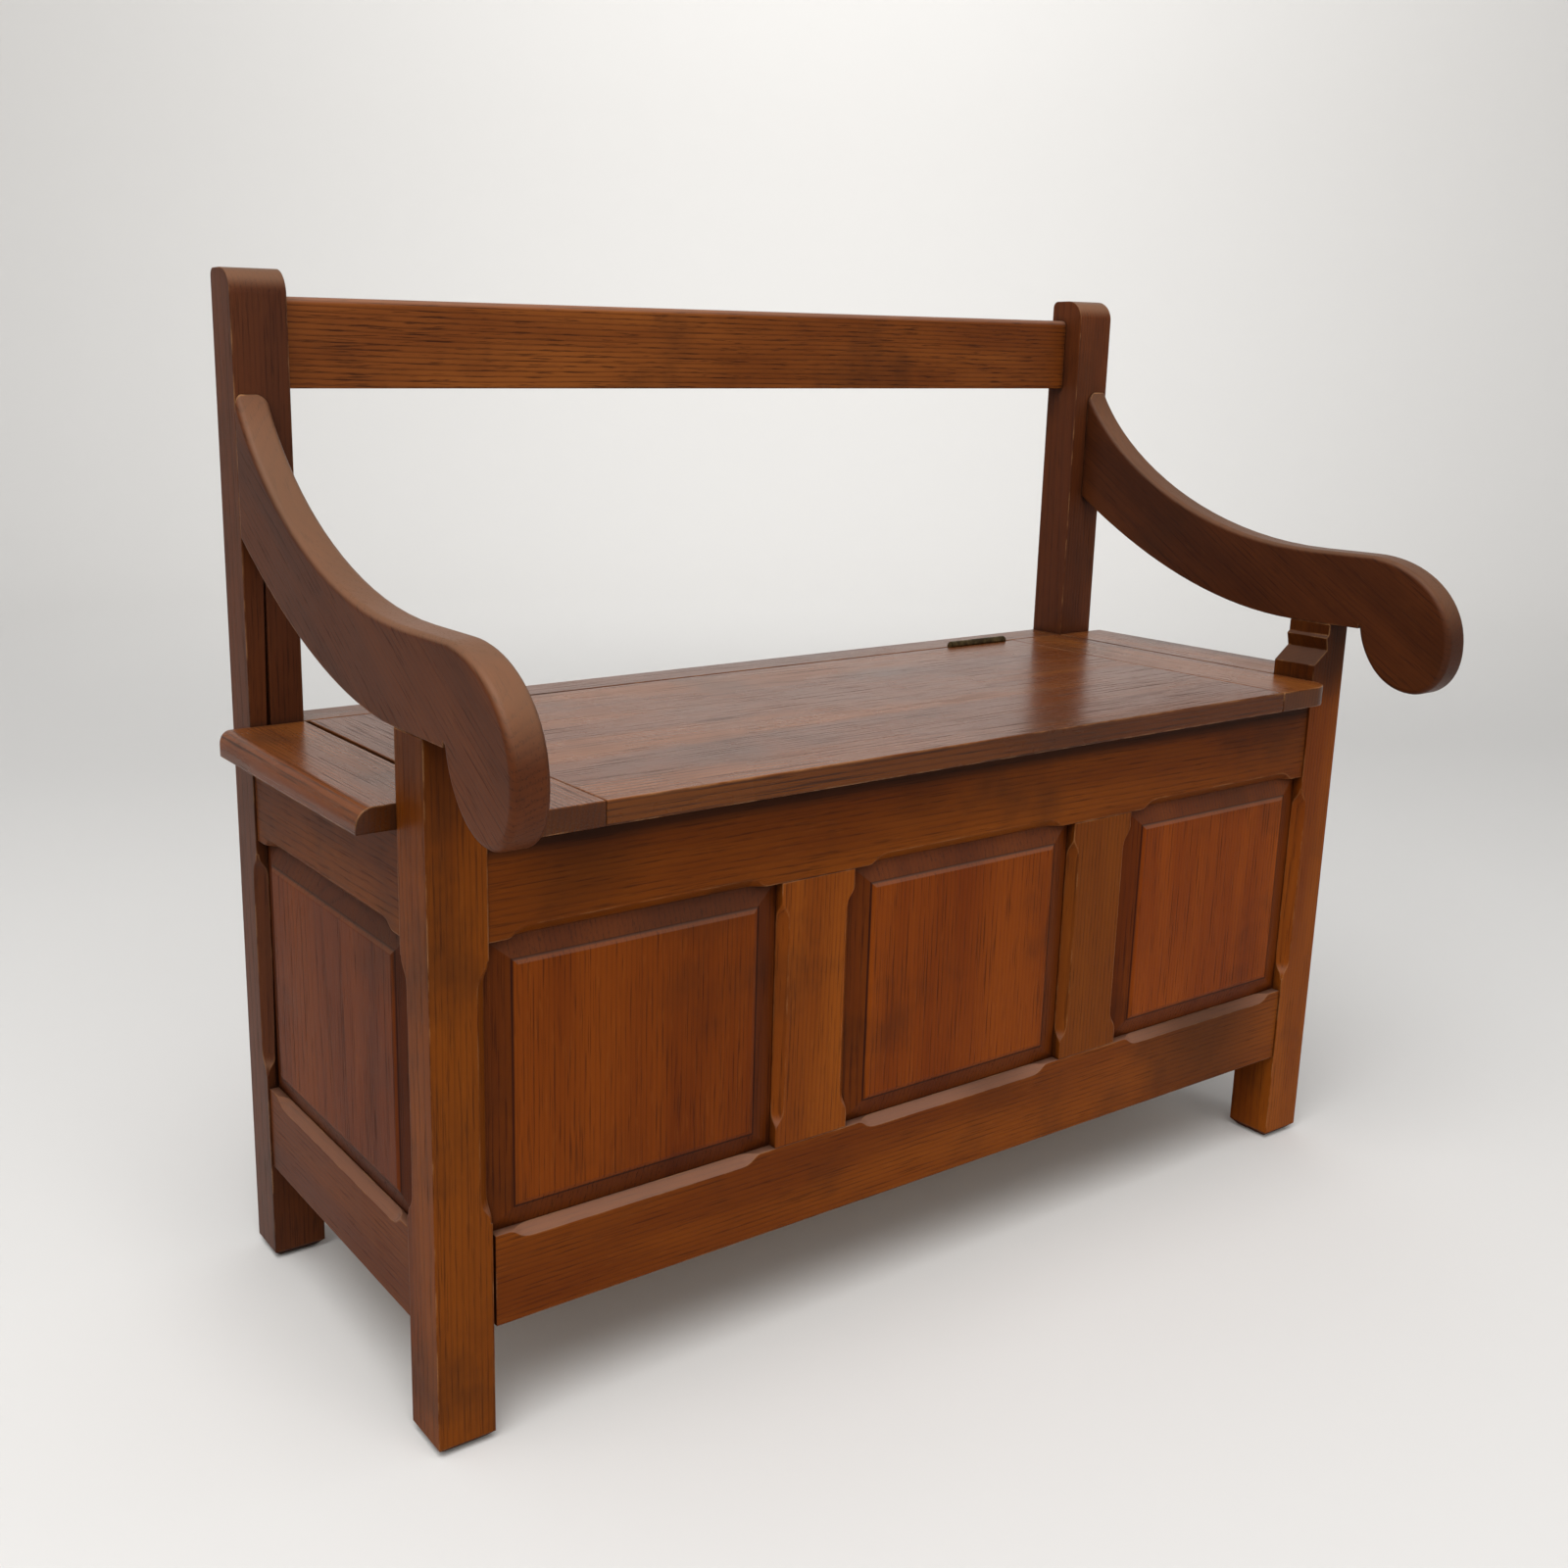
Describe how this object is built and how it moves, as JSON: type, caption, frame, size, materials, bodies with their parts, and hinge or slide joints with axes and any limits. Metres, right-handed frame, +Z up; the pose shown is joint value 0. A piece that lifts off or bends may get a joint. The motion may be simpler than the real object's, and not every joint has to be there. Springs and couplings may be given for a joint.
{
  "type": "entryway bench",
  "caption": "Oak hall bench with scrolled arms, a crest rail and a hinged seat lid over a panelled storage box.",
  "frame": {"origin": "bottom centre of the bench's box, on the floor", "axes": "+X to the right seen from the front, +Y to the back, +Z up; the front faces -Y"},
  "size_m": [1.024, 0.4746, 0.823],
  "materials": {
    "frame_oak": "stained oak, semi-gloss varnish",
    "post_oak": "darker stained oak, satin varnish worn on the arrises",
    "panel_oak": "stained oak, vertical grain, semi-gloss varnish",
    "seat_oak": "stained oak, glossy varnish polished by use",
    "inner_wood": "bare sawn wood",
    "hinge_brass": "aged brass, dull",
    "screw_steel": "dull steel"
  },
  "bodies": {
    "frame": {"post_left": "post_oak", "post_right": "post_oak", "leg_left": "frame_oak", "leg_right": "frame_oak", "arm_left": "post_oak", "arm_right": "post_oak", "crest_rail": "frame_oak", "rail_front_top": "frame_oak", "rail_front_bottom": "frame_oak", "rail_left_top": "frame_oak", "rail_left_bottom": "frame_oak", "rail_right_top": "frame_oak", "rail_right_bottom": "frame_oak", "rail_back_top": "frame_oak", "rail_back_bottom": "frame_oak", "muntin_front_left": "frame_oak", "muntin_front_right": "frame_oak", "muntin_back": "frame_oak", "panel_front_left": "panel_oak", "panel_front_middle": "panel_oak", "panel_front_right": "panel_oak", "panel_left": "panel_oak", "panel_right": "panel_oak", "panel_back_left": "panel_oak", "panel_back_right": "panel_oak", "seat_end_left": "seat_oak", "seat_end_right": "seat_oak", "hinge_strip": "seat_oak", "seat_bearer_left": "inner_wood", "seat_bearer_right": "inner_wood", "floor_cleat_front": "inner_wood", "floor_cleat_back": "inner_wood", "floor_board_1": "inner_wood", "floor_board_2": "inner_wood", "floor_board_3": "inner_wood", "floor_board_4": "inner_wood", "floor_board_5": "inner_wood", "hinge_left_leaf_fixed": "hinge_brass", "hinge_left_pin": "hinge_brass", "screw_left_fixed_1": "screw_steel", "screw_left_fixed_2": "screw_steel", "screw_left_fixed_3": "screw_steel", "hinge_right_leaf_fixed": "hinge_brass", "hinge_right_pin": "hinge_brass", "screw_right_fixed_1": "screw_steel", "screw_right_fixed_2": "screw_steel", "screw_right_fixed_3": "screw_steel"},
    "lid": {"lid_panel": "seat_oak", "lid_end_left": "seat_oak", "lid_end_right": "seat_oak", "hinge_left_leaf_lid": "hinge_brass", "screw_left_lid_1": "screw_steel", "screw_left_lid_2": "screw_steel", "screw_left_lid_3": "screw_steel", "hinge_right_leaf_lid": "hinge_brass", "screw_right_lid_1": "screw_steel", "screw_right_lid_2": "screw_steel", "screw_right_lid_3": "screw_steel"}
  },
  "joints": [
    {"name": "lid_hinge", "type": "hinge", "parent": "frame", "child": "lid", "pos_m": [0, 0.197, 0.4715], "axis": [-1, 0, 0], "range_deg": [0, 93.7]}
  ]
}
